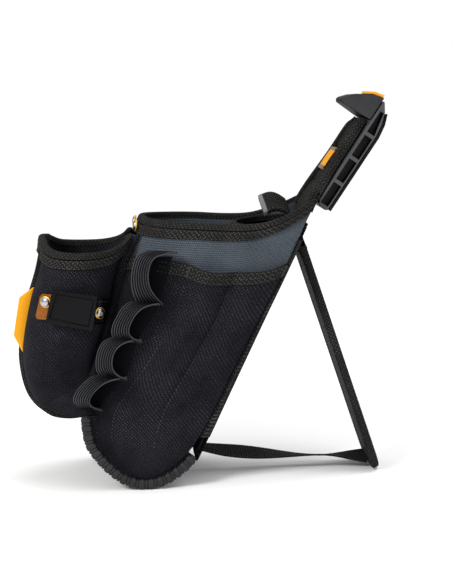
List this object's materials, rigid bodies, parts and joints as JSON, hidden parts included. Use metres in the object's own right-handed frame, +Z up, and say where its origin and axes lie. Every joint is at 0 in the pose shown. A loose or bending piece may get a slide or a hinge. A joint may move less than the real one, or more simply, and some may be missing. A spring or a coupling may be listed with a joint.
{
  "type": "electrician tool pouch",
  "caption": "Leaning fabric tool pouch with a deep main compartment, side tool slots, elastic loops, a front pocket, a belt hub on its neck and a fold-out kickstand at the back",
  "frame": {"origin": "centre of the bounding box on the floor", "axes": "+Z up, +X from the front pocket to the kickstand, +Y to the far side"},
  "size_m": [0.3272, 0.1734, 0.3401],
  "materials": {
    "ballistic": "black ballistic nylon",
    "greyBlue": "grey-blue woven nylon",
    "binding": "folded edge tape",
    "webbing": "black webbing",
    "elastic": "ribbed black elastic",
    "lining": "black lining",
    "rubber": "ribbed dark grey rubber",
    "board_plastic": "stiffener sheet",
    "hub_plastic": "dark grey moulded plastic",
    "black_plastic": "black moulded plastic",
    "orange": "orange woven label",
    "orange_inlay": "orange moulded plastic",
    "brown_tab": "tan tab",
    "chrome": "polished",
    "yellow_washer": "yellow passivated",
    "pale_tape": "pale tape"
  },
  "bodies": {
    "root": {"main_side_near": "greyBlue", "main_side_far": "greyBlue", "main_front_panel": "ballistic", "main_rim_binding": "binding", "main_rim_webbing": "webbing", "back_panel": "ballistic", "back_stiffener": "board_plastic", "back_lining": "lining", "neck_pad": "ballistic", "neck_binding_near": "binding", "neck_binding_far": "binding", "back_edge_binding_near": "binding", "back_edge_binding_far": "binding", "neck_label": "orange", "side_pocket_near": "ballistic", "side_pocket_far": "ballistic", "side_pocket_band_near": "webbing", "side_pocket_band_far": "webbing", "toe_guard_near": "rubber", "toe_guard_far": "rubber", "elastic_strip_near": "elastic", "elastic_strip_far": "elastic", "front_pocket_strip": "ballistic", "front_pocket_side_near": "ballistic", "front_pocket_side_far": "ballistic", "front_rim_binding": "binding", "front_rim_webbing": "webbing", "side_tag": "orange", "tape_clip_plate": "black_plastic", "tape_clip_tab_front": "brown_tab", "tape_clip_tab_back": "ballistic", "inner_pocket": "lining", "inner_pocket_binding": "binding", "webbing_tab": "webbing", "webbing_tab_end": "pale_tape", "hub_frame": "hub_plastic", "hub_back_plate": "black_plastic", "hub_hook": "hub_plastic", "hub_crown_inlay": "orange_inlay", "stand_hinge_tape": "webbing", "stand_strap": "webbing", "rim_rivet_near_washer": "yellow_washer", "rim_rivet_near_head": "chrome", "rim_rivet_far_washer": "yellow_washer", "rim_rivet_far_head": "chrome", "tape_clip_rivet_front_washer": "yellow_washer", "tape_clip_rivet_front_head": "chrome", "tape_clip_rivet_back_washer": "yellow_washer", "tape_clip_rivet_back_head": "chrome"},
    "kickstand": {"stand_board": "board_plastic", "stand_cover_inner": "ballistic", "stand_cover_outer": "ballistic", "stand_edge_binding": "binding"}
  },
  "joints": [
    {"name": "kickstand_fold", "type": "hinge", "parent": "root", "child": "kickstand", "pos_m": [0.0888, 0, 0.2035], "axis": [0, 1, 0], "range_deg": [0, 40], "deforming": ["stand_strap"]}
  ]
}
